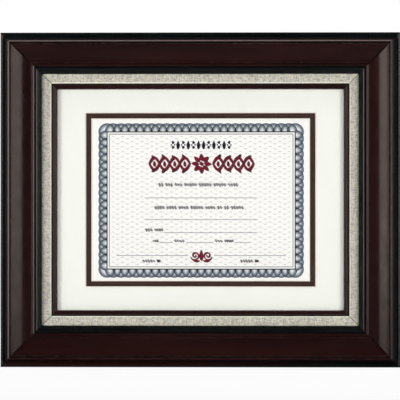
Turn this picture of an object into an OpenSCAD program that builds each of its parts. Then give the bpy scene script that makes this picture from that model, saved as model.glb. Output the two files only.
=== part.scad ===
// Wall frame for a certificate: a scooped outer moulding, a linen-wrapped liner and a narrow
// fillet, each made of four mitred rails, round a package of glass, two mats and boards that
// turn buttons hold from behind. Millimetres. X runs across, Z up and Y to the wall, and the
// origin is the point inside the top hanging ring where a wall hook bears.

/* [Contents] */
// Width of the glass, mats and boards
pane_w = 355.6; // [300:0.1:700]
// Height of the glass, mats and boards
pane_h = 279.4; // [235:0.1:600]
// Width of the certificate sheet
sheet_w = 279.4; // [150:0.1:300]
// Height of the certificate sheet
sheet_h = 215.9; // [120:0.1:230]
// Thickness of the certificate sheet
sheet_t = 0.3; // [0.1:0.05:0.6]
// Thickness of the glass
glass_t = 2.0; // [1.5:0.1:3.5]
// Thickness of each mat board
mat_t = 1.4; // [1.0:0.1:2.4]
// Thickness of the filler board
filler_t = 2.0; // [1:0.1:5]
// Thickness of the backing board
backing_t = 3.0; // [2:0.1:5]

/* [Mats] */
// Width of the sheet that the lower mat covers at each side
sheet_cover_w = 8.0; // [4:0.1:20]
// Height of the sheet that the lower mat covers at top and bottom
sheet_cover_h = 10.05; // [4:0.05:20]
// Width of the lower mat that shows inside the upper mat
reveal = 6.35; // [3:0.05:10]

/* [Rebate] */
// Width of the glass that the fillet covers at each side
cover_w = 5.6; // [4:0.1:8]
// Height of the glass that the fillet covers at top and bottom
cover_h = 7.0; // [4:0.1:8]
// Least play between the glass edge and the rebate wall
pane_play = 0.5; // [0.3:0.1:1.5]
// Play left behind the boards
pack_play = 0.1; // [0:0.05:0.3]

/* [Outer moulding] */
// Width of the outer moulding, from the outside edge to the end of its lip
mould_w = 50.0; // [46:0.5:70]
// Width of the lip that covers the liner
lip_w = 7.0; // [5:0.5:9]
// Thickness of the lip at its inner edge
lip_t = 2.2; // [2:0.1:4.5]
// Height of the moulded face above the underside of the lip
face_h = 12.4; // [11:0.1:18]
// Height of the outside edge above the underside of the lip
edge_h = 3.0; // [2:0.1:5]
// Radius of the bead along the outside edge
edge_bead_r = 2.2; // [1.6:0.1:2.8]
// Radius of the hollow between the outside edge and the crest
cove_r = 11.0; // [9:0.5:16]
// Distance of the crest from the outside edge
crest_u = 8.4; // [7.5:0.1:10]
// Width of the crest
crest_w = 3.2; // [2.5:0.1:4.5]
// Radius of the crest's rounded top
crest_r = 9.9; // [6:0.1:20]
// Depth of the quirk beside the crest
crest_quirk_h = 2.6; // [1.6:0.1:3.2]
// Width of the quirk beside the crest
crest_quirk_w = 1.7; // [1:0.1:2.5]
// Fall from the crest to the upper edge of the scoop
scoop_fall = 1.0; // [0.4:0.1:1.5]
// Depth of the scoop
scoop_h = 6.5; // [4:0.1:7]
// Radius of the bead below the scoop
bead_r = 2.3; // [1.5:0.1:2.6]
// Width of the quirk between the bead and the inner band
bead_quirk_w = 1.6; // [1:0.1:2.5]
// Depth of that quirk below the scoop
bead_quirk_h = 1.3; // [0.6:0.1:1.8]
// Width of the sloped inner band
band_w = 7.2; // [6:0.1:9]
// Rise of the inner band from its inner edge to its outer edge
band_h = 3.8; // [1:0.1:4.4]

/* [Liner and fillet] */
// Width of the linen that shows
linen_w = 11.4; // [8:0.1:20]
// Thickness of the linen
linen_t = 0.8; // [0.5:0.1:1.2]
// Height of the linen face above the rebate
liner_h = 5.4; // [4.6:0.1:8]
// Radius of the liner's rounded inner edge
nose_r = 1.8; // [1.2:0.1:2.4]
// Width of the linen tucked under the lip
tuck_w = 4.0; // [2:0.1:4.5]
// Play between the liner and the outer moulding's rebate
liner_play = 0.4; // [0.2:0.1:1]
// Width of the fillet that shows
fillet_w = 7.1; // [6.6:0.1:10]
// Radius of the fillet's bead
fillet_r = 3.2; // [2.6:0.1:3.2]
// Height of the fillet's bead above the rebate
fillet_h = 4.4; // [3.6:0.1:4.4]
// Thickness of the fillet's tongue
tongue_t = 2.0; // [1.5:0.1:2.4]
// Length of the tongue inside the liner's groove
tongue_l = 3.6; // [2.5:0.1:5]
// Play round the tongue
tongue_play = 0.1; // [0.05:0.05:0.3]

/* [Corner nails] */
// Length of each leg of a corner nail
nail_leg = 6.0; // [4:0.5:8]
// Thickness of a corner nail
nail_t = 0.6; // [0.4:0.1:0.9]
// Depth that a corner nail is driven in
nail_h = 9.0; // [6:0.5:9]
// Distance of the outer corner nail from the outside edges
nail_u = 11.0; // [8:0.5:14]
// Distance between the two corner nails of a moulding corner
nail_step = 19.0; // [14:0.5:22]

/* [Turn buttons] */
// Length of a turn button from its pivot to its tip
button_l = 17.5; // [14:0.5:20]
// Radius of a turn button's round end
button_r = 5.0; // [4.5:0.1:6]
// Radius of a turn button's tip
button_tip_r = 3.4; // [2.5:0.1:4]
// Thickness of a turn button
button_t = 1.2; // [0.8:0.1:2]
// Gap between a turn button and the liner's back
button_gap = 0.1; // [0.05:0.05:0.3]
// Distance of the upper and lower turn buttons from the middle
button_x = 95.0; // [60:1:150]
// Distance of the side turn buttons from the middle
button_z = 60.0; // [45:1:110]
// Radius of a turn button screw
button_screw_r = 1.5; // [1.2:0.1:2]
// Length of a turn button screw below its head
button_screw_l = 9.0; // [7:0.5:11]

/* [Hangers] */
// Distance of the hook point from the nearest outside edge
hang_u = 12.0; // [10.5:0.5:14]
// Radius of the ring wire
wire_r = 1.0; // [0.8:0.1:1.2]
// Radius of the ring's arc, to the middle of the wire
ring_r = 8.0; // [7:0.1:9]
// Length of the ring's straight legs
ring_leg = 4.0; // [3:0.1:5]
// Radial play of the ring in the strap
ring_play = 0.1; // [0.05:0.05:0.1]
// Thickness of the strap metal
strap_t = 0.8; // [0.6:0.1:1]
// Width of the strap
strap_w = 11.0; // [8:0.1:12]
// Distance from the ring's pivot to the strap's screw
strap_screw = 10.0; // [8:0.5:11]
// Radius of the strap's round end about the screw
strap_end_r = 6.4; // [6.2:0.1:7]
// Radius of a hanger screw
hanger_screw_r = 1.8; // [1.5:0.1:2.2]
// Length of a hanger screw below its head
hanger_screw_l = 12.0; // [8:0.5:13]

/* [Screw heads and play] */
// Radius of a screw head as a share of its shank
head_ratio = 2.0; // [1.8:0.1:2.2]
// Height of a screw head
head_h = 1.3; // [1:0.1:1.8]
// Radial play of a screw in the metal that it holds
screw_play = 0.1; // [0.05:0.05:0.1]
// Radial play of a screw in its wooden hole
pilot_play = 0.05; // [0.02:0.01:0.1]

/* [Bumpers] */
// Radius of a bumper where it is stuck on
bumper_r = 6.0; // [5:0.5:8]
// Radius of a bumper where it meets the wall
bumper_face_r = 4.5; // [3:0.5:5]
// Height of a bumper
bumper_h = 4.4; // [4.2:0.1:7]
// Distance of a bumper from the side edge
bumper_x = 46.0; // [40:1:80]
// Distance of a bumper from the bottom edge
bumper_z = 15.0; // [10:1:25]

/* [Hidden] */
$fn = 64;

// The four sides, counted round the frame: each is a quarter turn about Y from the last
BOTTOM = 0;
LEFT = 1;
TOP = 2;
RIGHT = 3;
SIDES = [BOTTOM, LEFT, TOP, RIGHT];
// A small length by which cutting shapes pass the faces they open
over = 1;

// Sizes across the frame, in u: the distance inwards from the outside edge
rail_w = mould_w + linen_w + fillet_w;
frame_w = pane_w - 2 * cover_w + 2 * rail_w;
frame_h = pane_h - 2 * cover_h + 2 * rail_w;
lip_u = mould_w;
rabbet_u = mould_w - lip_w;
liner_u = rabbet_u + liner_play;
nose_u = mould_w + linen_w;
rebate_u = rail_w - max(cover_w, cover_h) - pane_play;
groove_u = nose_u - linen_t - tongue_l;

// Sizes through the frame, in d: the distance forwards from the wooden back
rebate_d = pack_play + backing_t + filler_t + sheet_t + 2 * mat_t + glass_t;
lip_d = rebate_d + liner_h;
face_d = lip_d + face_h;
edge_d = lip_d + edge_h;
crest_quirk_d = face_d - crest_quirk_h;
scoop_edge_d = face_d - scoop_fall;
scoop_d = scoop_edge_d - scoop_h;
bead_quirk_d = scoop_d - bead_quirk_h;
tongue_d = rebate_d + tongue_t;

// Points of the moulding's face
edge_flat = 0.3;
crest_step = 0.15;
scoop_u = crest_u + crest_w + crest_quirk_w;
band_u = lip_u - band_w;
bead_u = band_u - bead_quirk_w - bead_r;
bead_sink = 0.3;
bead_d = scoop_d - bead_sink;
band_d = lip_d + lip_t + band_h;
arris_w = 0.6;
band_top_w = 0.6;
crest_lean = 12;
cove_from = [2 * edge_bead_r - 2 * edge_flat, edge_d - edge_bead_r / 2];
cove_to = [crest_u - crest_step, crest_quirk_d];
scoop_w = bead_u - bead_r - scoop_u;
scoop_r = (scoop_w * scoop_w + scoop_h * scoop_h) / (2 * scoop_h);

// The ring's pivot, out from the wooden back and down from the hook point
barrel_lift = 0.05;
pivot_d = wire_r + ring_play + strap_t + barrel_lift;
pivot_drop = ring_leg + ring_r - wire_r;
strap_flat = 2 * strap_t;
pivot_u = hang_u + pivot_drop;
hanger_screw_u = pivot_u + strap_screw;

// The middle of the frame, and the plane of its wooden back
centre_z = hang_u - frame_h / 2;
back_y = -pivot_d;

// Turn buttons pivot on the middle of the liner's back
button_u = (liner_u + rebate_u) / 2;

// A screw head's flat top and the arms of its cross recess, as shares of the head's radius
head_top_ratio = 0.72;
recess_arm_ratio = 0.5;
recess_slot_ratio = 0.125;

// Centre of the circle of radius r through p and q that lies to the left of the way from p to q
function arc_centre(p, q, r) =
    let (mid = (p + q) / 2, way = q - p, half = norm(way) / 2)
    mid + [-way[1], way[0]] / norm(way) * sqrt(r * r - half * half);

function side_length(side) = side % 2 == 0 ? frame_w : frame_h;
function side_reach(side) = side % 2 == 0 ? frame_h / 2 : frame_w / 2;

// Moves from the middle of the wooden back to the part's own frame
module from_middle() {
    translate([0, back_y, centre_z]) children();
}

// Children drawn with X along the rail, Z inwards from its outside edge and -Y forwards
module on_side(side) {
    from_middle() rotate([0, 90 * side, 0]) translate([0, 0, -side_reach(side)]) children();
}

// A rail with mitred ends, from one or more outlines drawn as [u, d]
module rail(side) {
    long = side_length(side);
    on_side(side) intersection() {
        for (part = [0:$children - 1])
            rotate([180, -90, 0]) linear_extrude(long, center = true) children(part);
        rotate([90, 0, 0]) linear_extrude(4 * face_d, center = true) mitre_outline(long);
    }
}

module mitre_outline(long) {
    polygon([
        [-long / 2, 0],
        [long / 2, 0],
        [long / 2 - rail_w - over, rail_w + over],
        [-long / 2 + rail_w + over, rail_w + over]
    ]);
}

// A board in the package, centred, whose front face is at d
module board(w, h, t, d) {
    from_middle() translate([-w / 2, -d, -h / 2]) cube([w, t, h]);
}

// Section of the outer moulding without its beads
module moulding_outline() {
    difference() {
        moulding_blank();
        translate(arc_centre(cove_from, cove_to, cove_r)) circle(cove_r);
        scoop_cut();
    }
}

module scoop_cut() {
    intersection() {
        translate([bead_u - bead_r, scoop_d + scoop_r]) circle(scoop_r, $fn = 180);
        translate([0, scoop_d - over]) square([bead_u, face_d]);
    }
}

module moulding_blank() {
    polygon([
        [0, 0],
        [0, crest_quirk_d],
        [scoop_u - crest_step, crest_quirk_d],
        [scoop_u, scoop_edge_d],
        [bead_u, scoop_edge_d],
        [bead_u, bead_quirk_d],
        [band_u, bead_quirk_d],
        [band_u, band_d - arris_w],
        [band_u + arris_w, band_d],
        [band_u + arris_w + band_top_w, band_d],
        [lip_u, lip_d + lip_t],
        [lip_u, lip_d],
        [rabbet_u, lip_d],
        [rabbet_u, 0]
    ]);
}

module edge_bead_outline() {
    intersection() {
        translate([edge_bead_r - edge_flat, edge_d - edge_bead_r]) circle(edge_bead_r);
        square([2 * edge_bead_r, edge_d]);
    }
}

module bead_outline() {
    translate([bead_u, bead_d]) circle(bead_r);
}

// The crest leans inwards from its high outer edge
module crest_outline() {
    intersection() {
        translate([crest_u, lip_d]) square([crest_w, face_h]);
        translate([crest_u - crest_r * sin(crest_lean), face_d - crest_r * cos(crest_lean)])
            circle(crest_r);
    }
}

module moulding(side) {
    color("#3a1c1b") difference() {
        rail(side) {
            moulding_outline();
            edge_bead_outline();
            crest_outline();
            bead_outline();
        }
        corner_nails(nail_u, over);
        corner_nails(nail_u + nail_step, over);
        hanger_pilot(side);
    }
}

// The hole for the hanger screw, on the two rails that carry a hanger
module hanger_pilot(side) {
    if (side == TOP || side == RIGHT)
        behind(side, 0, hanger_screw_u)
            translate([0, 0, -hanger_screw_l])
                cylinder(r = hanger_screw_r + pilot_play, h = hanger_screw_l + over);
}

// Children drawn with Z out of the wooden back, X along the rail and -Y inwards
module behind(side, along, u) {
    on_side(side) translate([along, 0, u]) rotate([-90, 0, 0]) children();
}

// Section of the liner with its linen on, down to the groove that takes the fillet
module linen_envelope() {
    top = lip_d - nose_r;
    tuck_u = lip_u - tuck_w;
    translate([tuck_u, tongue_d + tongue_play])
        square([nose_u - tuck_u, top - tongue_d - tongue_play]);
    translate([tuck_u, top]) square([nose_u - tuck_u - nose_r, nose_r]);
    translate([nose_u - nose_r, top]) intersection() {
        circle(nose_r);
        square(nose_r);
    }
}

// The wooden core: the same section, one thickness of linen smaller
module liner_outline() {
    core_r = nose_r - linen_t;
    core_u = nose_u - linen_t;
    core_d = lip_d - linen_t;
    difference() {
        union() {
            translate([liner_u, 0]) square([core_u - core_r - liner_u, core_d]);
            translate([liner_u, 0]) square([core_u - liner_u, core_d - core_r]);
            translate([liner_u, 0]) square([rebate_u - liner_u, rebate_d]);
            translate([core_u - core_r, core_d - core_r]) intersection() {
                circle(core_r);
                square(core_r);
            }
        }
        translate([groove_u, rebate_d]) square([nose_u, tongue_t + tongue_play]);
        translate([rebate_u, -over]) square([nose_u, rebate_d + over]);
    }
}

module liner(side) {
    color("#b58f62") difference() {
        rail(side) liner_outline();
        corner_nails(button_u, over);
        for (place = button_places(side)) behind(side, place, button_u)
            translate([0, 0, -button_screw_l])
                cylinder(r = button_screw_r + pilot_play, h = button_screw_l + over);
    }
}

module linen(side) {
    color("#c9c6b2") rail(side) difference() {
        linen_envelope();
        liner_outline();
    }
}

// Section of the fillet: a bead that shows and a tongue in the liner's groove
module fillet_outline() {
    translate([groove_u + tongue_play, rebate_d])
        square([rail_w - fillet_r - groove_u - tongue_play, tongue_t]);
    intersection() {
        translate([rail_w - fillet_r, rebate_d + fillet_h - fillet_r]) circle(fillet_r);
        translate([rail_w - 2 * fillet_r, rebate_d]) square([2 * fillet_r, fillet_h]);
    }
}

module fillet(side) {
    color("#41201f") rail(side) fillet_outline();
}

// A mat with a window that is w by h at its back and opens forwards at 45 degrees
module mat(w, h, d) {
    difference() {
        board(pane_w, pane_h, mat_t, d);
        from_middle() intersection() {
            window_wedge(w, h + 4 * mat_t, d);
            rotate([0, 90, 0]) window_wedge(h, w + 4 * mat_t, d);
        }
    }
}

// A bar along Z whose width grows from w at the mat's back by its own depth on each side
module window_wedge(w, long, d) {
    wide = w + 2 * mat_t + 2 * over;
    narrow = w - 2 * over;
    linear_extrude(long, center = true) polygon([
        [-wide / 2, -d - over],
        [wide / 2, -d - over],
        [narrow / 2, mat_t - d + over],
        [-narrow / 2, mat_t - d + over]
    ]);
}

// Front faces of the package's layers
glass_d = rebate_d;
mat_upper_d = glass_d - glass_t;
mat_lower_d = mat_upper_d - mat_t;
sheet_d = mat_lower_d - mat_t;
filler_d = sheet_d - sheet_t;
backing_d = filler_d - filler_t;
// The windows at the back of each mat
window_w = sheet_w - 2 * sheet_cover_w - 2 * mat_t;
window_h = sheet_h - 2 * sheet_cover_h - 2 * mat_t;
upper_grow = 2 * mat_t + 2 * reveal;

module glass() {
    color("#dfe8e8", 0.3) board(pane_w, pane_h, glass_t, glass_d);
}

module mat_upper() {
    color("#f4f4ec") mat(window_w + upper_grow, window_h + upper_grow, mat_upper_d);
}

module mat_lower() {
    color("#4a302a") mat(window_w, window_h, mat_lower_d);
}

module certificate() {
    color("#fbfbf8") board(sheet_w, sheet_h, sheet_t, sheet_d);
}

module filler_board() {
    color("#b89b74") board(pane_w, pane_h, filler_t, filler_d);
}

module backing_board() {
    color("#6e5237") board(pane_w, pane_h, backing_t, backing_d);
}

// Bent nails across the four mitres, u from both outside edges, up to past the wooden back
module corner_nails(u, past) {
    for (turn = [0, 1]) for (flip = [0, 1]) from_middle()
        mirror([flip, 0, 0]) mirror([0, 0, turn])
            translate([u - frame_w / 2, past, u - frame_h / 2])
                rotate([90, 0, 0]) linear_extrude(nail_h + past) nail_outline();
}

module moulding_nails() {
    color("#9a9c9c") {
        corner_nails(nail_u, 0);
        corner_nails(nail_u + nail_step, 0);
    }
}

module liner_nails() {
    color("#9a9c9c") corner_nails(button_u, 0);
}

module nail_outline() {
    square([nail_leg, nail_t]);
    square([nail_t, nail_leg]);
}

// Places of the turn buttons along each side
function button_places(side) = side % 2 == 0 ? [-button_x, button_x] : [-button_z, button_z];

module button(side, which) {
    color("#c3c4c2") behind(side, button_places(side)[which], button_u)
        translate([0, 0, button_gap]) difference() {
            linear_extrude(button_t) hull() {
                circle(button_r, $fn = 32);
                translate([0, button_tip_r - button_l]) circle(button_tip_r, $fn = 32);
            }
            translate([0, 0, -over])
                cylinder(r = button_screw_r + screw_play, h = button_t + 2 * over);
        }
}

// A round-headed screw with a cross recess, whose head sits at Z = 0
module screw(r, long) {
    head_r = head_ratio * r;
    arm = recess_arm_ratio * head_r;
    slot = recess_slot_ratio * head_r;
    translate([0, 0, -long]) cylinder(r = r, h = long);
    difference() {
        cylinder(r1 = head_r, r2 = head_top_ratio * head_r, h = head_h);
        for (turn = [0, 90]) rotate([0, 0, turn])
            translate([-arm, -slot, head_h / 2]) cube([2 * arm, 2 * slot, head_h]);
    }
}

module button_screws() {
    color("#b9b49a") for (side = SIDES) for (place = button_places(side))
        behind(side, place, button_u) translate([0, 0, 2 * button_gap + button_t])
            screw(button_screw_r, button_screw_l);
}

// Children drawn with Z out of the wooden back and Y towards the outside edge, at the pivot
module at_hanger(side) {
    behind(side, 0, pivot_u) children();
}

module strap(side) {
    color("#c8a95c") at_hanger(side) difference() {
        union() {
            translate([-strap_w / 2, 0, pivot_d]) rotate([0, 90, 0])
                cylinder(r = wire_r + ring_play + strap_t, h = strap_w);
            linear_extrude(strap_flat) strap_outline();
        }
        translate([-strap_w / 2 - over, 0, pivot_d]) rotate([0, 90, 0])
            cylinder(r = wire_r + ring_play, h = strap_w + 2 * over);
        translate([0, -strap_screw, -over])
            cylinder(r = hanger_screw_r + screw_play, h = strap_flat + 2 * over);
    }
}

module strap_outline() {
    translate([-strap_w / 2, -strap_screw]) square([strap_w, strap_screw]);
    intersection() {
        translate([0, -strap_screw]) circle(strap_end_r);
        translate([-strap_w / 2, -strap_screw - strap_end_r]) square([strap_w, strap_end_r + over]);
    }
}

// A D-shaped ring: a bar in the strap, two legs and a half round
module ring(side) {
    bar = 2 * ring_r + 2 * wire_r - edge_flat;
    color("#c8a95c") at_hanger(side) translate([0, 0, pivot_d]) {
        translate([-bar / 2, 0, 0]) rotate([0, 90, 0]) cylinder(r = wire_r, h = bar);
        for (x = [-ring_r, ring_r]) translate([x, 0, 0])
            rotate([-90, 0, 0]) cylinder(r = wire_r, h = ring_leg);
        translate([0, ring_leg, 0]) rotate_extrude(angle = 180)
            translate([ring_r, 0]) circle(wire_r, $fn = 32);
    }
}

module hanger_screws() {
    color("#b9b49a") for (side = [TOP, RIGHT])
        behind(side, 0, hanger_screw_u) translate([0, 0, strap_flat])
            screw(hanger_screw_r, hanger_screw_l - strap_flat);
}

module bumper(way) {
    color("#6b6b68") behind(BOTTOM, way * (frame_w / 2 - bumper_x), bumper_z)
        cylinder(r1 = bumper_r, r2 = bumper_face_r, h = bumper_h);
}

moulding(BOTTOM);  // moulding_bottom
moulding(LEFT);  // moulding_left
moulding(TOP);  // moulding_top
moulding(RIGHT);  // moulding_right
liner(BOTTOM);  // liner_bottom
liner(LEFT);  // liner_left
liner(TOP);  // liner_top
liner(RIGHT);  // liner_right
linen(BOTTOM);  // linen_bottom
linen(LEFT);  // linen_left
linen(TOP);  // linen_top
linen(RIGHT);  // linen_right
fillet(BOTTOM);  // fillet_bottom
fillet(LEFT);  // fillet_left
fillet(TOP);  // fillet_top
fillet(RIGHT);  // fillet_right
glass();
mat_upper();
mat_lower();
certificate();
filler_board();
backing_board();
moulding_nails();
liner_nails();
button(BOTTOM, 0);  // button_bottom_left
button(BOTTOM, 1);  // button_bottom_right
button(LEFT, 1);  // button_left_low
button(LEFT, 0);  // button_left_high
button(TOP, 1);  // button_top_left
button(TOP, 0);  // button_top_right
button(RIGHT, 0);  // button_right_low
button(RIGHT, 1);  // button_right_high
button_screws();
strap(TOP);  // strap_top
strap(RIGHT);  // strap_side
ring(TOP);  // ring_top
ring(RIGHT);  // ring_side
hanger_screws();
bumper(-1);  // bumper_left
bumper(1);  // bumper_right
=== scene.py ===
import itertools
import math

import bmesh
import bpy
import numpy as np
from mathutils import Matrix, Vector


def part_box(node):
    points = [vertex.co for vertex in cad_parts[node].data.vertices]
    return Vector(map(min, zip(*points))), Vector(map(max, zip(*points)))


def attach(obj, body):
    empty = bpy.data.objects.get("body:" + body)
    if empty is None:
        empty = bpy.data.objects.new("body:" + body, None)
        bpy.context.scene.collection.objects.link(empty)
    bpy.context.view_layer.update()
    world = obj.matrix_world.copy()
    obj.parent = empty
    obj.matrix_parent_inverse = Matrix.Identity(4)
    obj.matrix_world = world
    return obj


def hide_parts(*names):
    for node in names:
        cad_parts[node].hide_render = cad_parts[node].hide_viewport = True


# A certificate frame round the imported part: four mitred mouldings, a linen liner, a fillet,
# two mats, a printed sheet under glass, and the hardware on the back. Lengths are millimetres
# in the part's own frame, and become metres when a mesh is made. On each side of the frame
# a point is given as (along, u, d): along the rail, inwards from the outside edge and
# forwards from the wooden back.

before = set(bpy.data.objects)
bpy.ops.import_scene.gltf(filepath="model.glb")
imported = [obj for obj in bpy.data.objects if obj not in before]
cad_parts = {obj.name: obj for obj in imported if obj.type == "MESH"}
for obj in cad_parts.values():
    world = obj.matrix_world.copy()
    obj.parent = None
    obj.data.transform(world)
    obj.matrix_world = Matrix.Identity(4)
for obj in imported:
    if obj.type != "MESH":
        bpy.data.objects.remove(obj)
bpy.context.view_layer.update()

MM = 0.001
BOTTOM, LEFT, TOP, RIGHT = range(4)
SIDES = {"bottom": BOTTOM, "left": LEFT, "top": TOP, "right": RIGHT}
X_AXIS, Z_AXIS = 0, 2


def node_box(name):
    """Lowest and highest corner of a CAD node in millimetres."""
    low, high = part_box(name)
    return np.array(low) / MM, np.array(high) / MM


FRAME_LOW, FRAME_HIGH = node_box("moulding_bottom")
TOP_HIGH = node_box("moulding_top")[1]
HALF_W = (FRAME_HIGH[0] - FRAME_LOW[0]) / 2
HALF_H = (TOP_HIGH[2] - FRAME_LOW[2]) / 2
CENTRE_Z = (TOP_HIGH[2] + FRAME_LOW[2]) / 2
BACK_Y = FRAME_HIGH[1]


def front_of(node):
    """How far forwards from the wooden back a node reaches."""
    return BACK_Y - node_box(node)[0][1]


# Depths and widths that several pieces share
LIP_D = front_of("linen_bottom")
NOSE_U = node_box("linen_bottom")[1][2] - FRAME_LOW[2]
MAT_UPPER_D = front_of("mat_upper")
MAT_LOWER_D = front_of("mat_lower")
SHEET_D = front_of("certificate")
MAT_T = MAT_UPPER_D - MAT_LOWER_D
MOULD_W = FRAME_HIGH[2] - FRAME_LOW[2]
RABBET_U = 43.0


# Geometry helpers


def at_side(side, along, u, d):
    """Points in the part's frame from places on one side of it."""
    along, u, d = np.broadcast_arrays(*(np.asarray(v, float) for v in (along, u, d)))
    across = u - (HALF_H if side in (BOTTOM, TOP) else HALF_W)
    x, z = {
        BOTTOM: (along, across),
        LEFT: (across, -along),
        TOP: (-along, -across),
        RIGHT: (-across, along),
    }[side]
    return np.stack([x, BACK_Y - d, CENTRE_Z + z], -1)


def half_length(side):
    """Half the outside length of the rail on that side."""
    return HALF_W if side in (BOTTOM, TOP) else HALF_H


def arc(centre, radius, start, end, count):
    """Points on a circle from one angle to another, in degrees."""
    turn = np.radians(np.linspace(start, end, count))
    return np.stack([centre[0] + radius * np.cos(turn), centre[1] + radius * np.sin(turn)], -1)


def arc_between(centre, radius, start, end, count):
    """Points on a circle from the direction of one point to that of another."""
    angles = [math.degrees(math.atan2(p[1] - centre[1], p[0] - centre[0])) for p in (start, end)]
    return arc(centre, radius, *angles, count)


def left_centre(p, q, radius):
    """Centre of the circle through p and q that lies to the left of the way from p to q."""
    p, q = np.array(p, float), np.array(q, float)
    way = q - p
    half = np.hypot(*way) / 2
    across = np.array([-way[1], way[0]]) / (2 * half)
    return (p + q) / 2 + across * math.sqrt(radius**2 - half**2)


def joined(parts):
    """One array from lists and arrays of points."""
    return np.array([p for part in parts for p in part], float)


def doubled_area(points):
    """Twice a closed outline's area, above 0 where it runs against the clock."""
    ahead = np.roll(points, -1, 0)
    return np.sum(points[:, 0] * ahead[:, 1] - ahead[:, 0] * points[:, 1])


def soften(points, radius, least_turn=22.0):
    """A closed outline with rounded corners, and how much each of its points is an edge."""
    made, edge = [], []
    area = doubled_area(points)
    for i, point in enumerate(points):
        before, after = points[i - 1] - point, points[(i + 1) % len(points)] - point
        cross = before[1] * after[0] - before[0] * after[1]
        turn = math.degrees(math.atan2(cross, -before[0] * after[0] - before[1] * after[1]))
        if abs(turn) < least_turn:
            made.append(point)
            edge.append(0.0)
            continue
        long_before, long_after = np.hypot(*before), np.hypot(*after)
        cut = min(radius, 0.45 * long_before, 0.45 * long_after)
        start = point + before / long_before * cut
        end = point + after / long_after * cut
        for t in (0, 0.3, 0.7, 1):
            made.append((1 - t) ** 2 * start + 2 * t * (1 - t) * point + t * t * end)
            edge.append(1.0 if turn * area > 0 else -1.0)
    return np.array(made), np.array(edge)


def outward(points):
    """Unit normals of a closed outline, pointing out of it."""
    way = np.roll(points, -1, 0) - np.roll(points, 1, 0)
    normal = np.stack([way[:, 1], -way[:, 0]], -1) * (1 if doubled_area(points) > 0 else -1)
    return normal / np.maximum(np.hypot(*normal.T), 1e-9)[:, None]


def strip_faces(rows, cols, close=False):
    """Quads between consecutive rows of cols points."""
    faces = []
    for r in range(rows - 1):
        for c in range(cols if close else cols - 1):
            a, b = r * cols + c, r * cols + (c + 1) % cols
            faces.append((a, b, b + cols, a + cols))
    return faces


def ring_faces(rows, cols):
    """Faces of a closed band of loops whose last loop joins the first."""
    last = (rows - 1) * cols
    return strip_faces(rows, cols, close=True) + [
        (last + c, last + (c + 1) % cols, (c + 1) % cols, c) for c in range(cols)
    ]


def capped_faces(rows, cols):
    """Faces of a stack of loops with a flat cap on its first and last one."""
    last = (rows - 1) * cols
    return strip_faces(rows, cols, close=True) + [tuple(range(cols)), tuple(range(last, last + cols))]


def linked(name, data):
    """A new object in the scene that shows some data."""
    made = bpy.data.objects.new(name, data)
    bpy.context.scene.collection.objects.link(made)
    return made


def piece(name, points, faces, materials, slot, nodes=(), chosen=None, body="frame",
          closed=True, sharp=35.0, marks=None):
    """A mesh piece of the object, from points in millimetres."""
    mesh = bpy.data.meshes.new(name)
    mesh.from_pydata((np.asarray(points, float) * MM).tolist(), [], [list(f) for f in faces])
    for material in materials:
        mesh.materials.append(material)
    if chosen is not None:
        mesh.polygons.foreach_set("material_index", np.asarray(chosen, np.int32))
    for key, values in (marks or {}).items():
        mark = mesh.attributes.new(key, "FLOAT", "POINT")
        mark.data.foreach_set("value", np.asarray(values, np.float32))
    if closed:
        work = bmesh.new()
        work.from_mesh(mesh)
        bmesh.ops.recalc_face_normals(work, faces=work.faces)
        work.to_mesh(mesh)
        work.free()
    mesh.shade_smooth()
    mesh.set_sharp_from_angle(angle=math.radians(sharp))
    made = linked(name, mesh)
    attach(made, body)
    if nodes:
        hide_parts(*nodes)


class Shape:
    """Collects the points and faces of several forms for one piece."""

    def __init__(self):
        self.points, self.faces, self.count = [], [], 0

    def add(self, points, faces):
        """Adds a form whose faces count its own points."""
        points = np.asarray(points, float).reshape(-1, 3)
        self.points.append(points)
        self.faces += [tuple(i + self.count for i in f) for f in faces]
        self.count += len(points)

    def piece(self, name, materials, slot, nodes=(), **more):
        """Makes one piece of all the forms."""
        piece(name, np.concatenate(self.points), self.faces, materials, slot, nodes, **more)


# Materials


def linear(red, green, blue):
    """A colour as the eye sees it, 0 to 255, in the linear values that a shader takes."""
    return tuple(
        (v / 255 / 12.92 if v <= 10.3 else ((v / 255 + 0.055) / 1.055) ** 2.4)
        for v in (red, green, blue)
    ) + (1.0,)


def deeper(colour, share):
    """A darker tone of a colour."""
    return tuple(v * share for v in colour)


class Nodes:
    """A node tree, with short calls that make a node, set or join its inputs and give a result."""

    def __init__(self, tree):
        self.tree = tree

    def join(self, value, socket):
        """Links another node's result to an input, or sets the input's value."""
        if isinstance(value, bpy.types.NodeSocket):
            self.tree.links.new(value, socket)
        else:
            socket.default_value = value

    def node(self, kind, inputs, **settings):
        """Makes a node and returns its results."""
        made = self.tree.nodes.new("ShaderNode" + kind)
        for key, value in settings.items():
            setattr(made, key, value)
        for key, value in inputs.items():
            self.join(value, made.inputs[key])
        return made.outputs

    def span(self, value, from_low, from_high, to_low=0, to_high=1):
        """The value moved from one range to another."""
        return self.node("MapRange", {"Value": value, "From Min": from_low, "From Max": from_high,
                                      "To Min": to_low, "To Max": to_high})["Result"]

    def math(self, operation, a, b=0.0):
        return self.node("Math", {0: a, 1: b}, operation=operation)["Value"]

    def times(self, a, b):
        return self.math("MULTIPLY", a, b)

    def blend(self, factor, a, b):
        """A number between two."""
        return self.node("Mix", {0: factor, 2: a, 3: b})[0]

    def mix(self, factor, a, b, way="MIX"):
        """A colour between two. A colour of three numbers is one as the eye sees it."""
        a, b = (linear(*v) if isinstance(v, tuple) and len(v) == 3 else v for v in (a, b))
        return self.node("Mix", {0: factor, 6: a, 7: b}, data_type="RGBA", blend_type=way)[2]


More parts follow.
